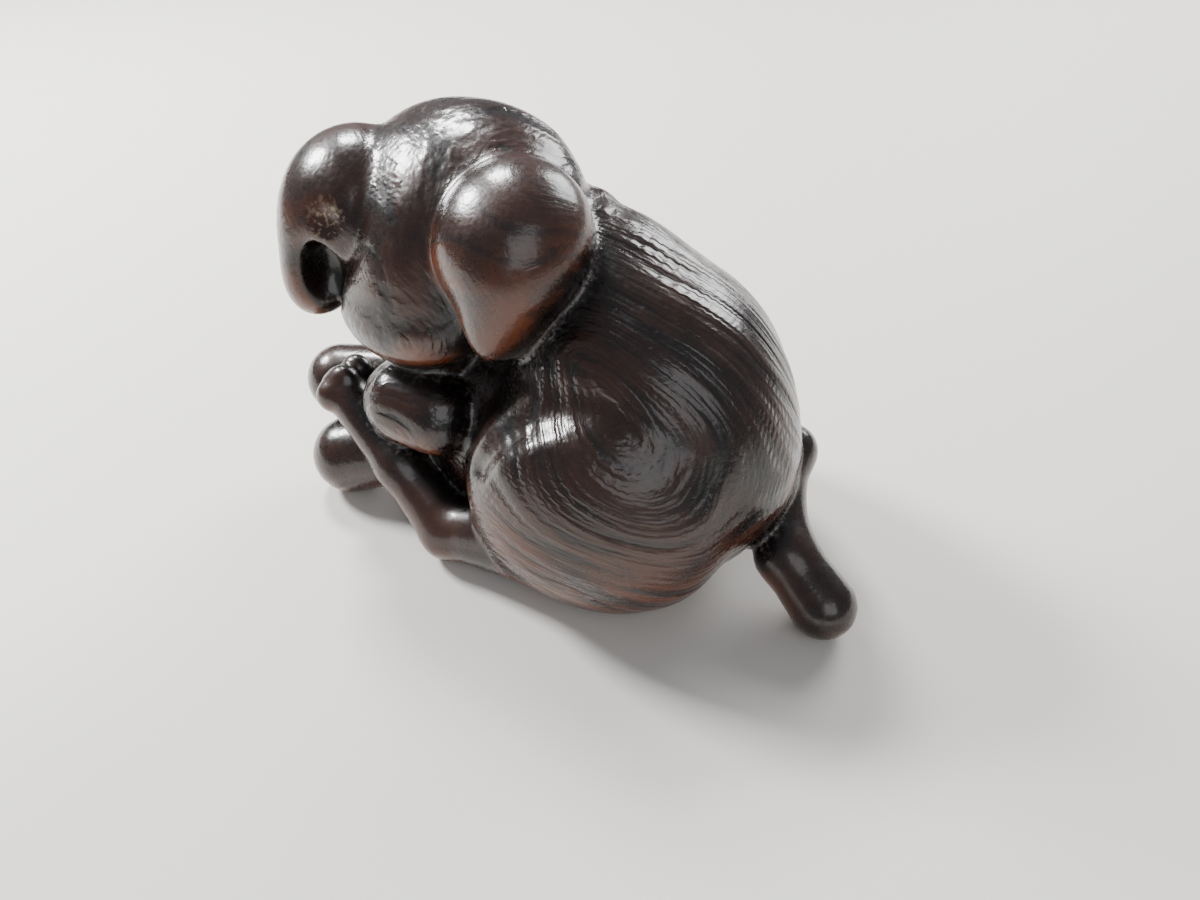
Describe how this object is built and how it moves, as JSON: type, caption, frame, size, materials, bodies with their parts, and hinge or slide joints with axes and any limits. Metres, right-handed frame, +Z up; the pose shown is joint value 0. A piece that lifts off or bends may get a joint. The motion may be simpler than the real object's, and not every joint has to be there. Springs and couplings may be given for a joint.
{
  "type": "netsuke",
  "caption": "Small carved wood netsuke of a seated puppy with hanging ears, its bowed head turned to its left and its hind foot lifted over its forepaws.",
  "frame": {"origin": "middle of the bounding box, at the ground the carving sits on", "axes": "+Z up, the body faces -X with the tail at +X, the puppy's left side is -Y; the head is turned towards -Y"},
  "size_m": [0.0504, 0.0278, 0.0332],
  "materials": {
    "wood": "dark stained and polished by handling, red-brown where worn"
  },
  "bodies": {
    "root": {"puppy": "wood"}
  },
  "joints": []
}
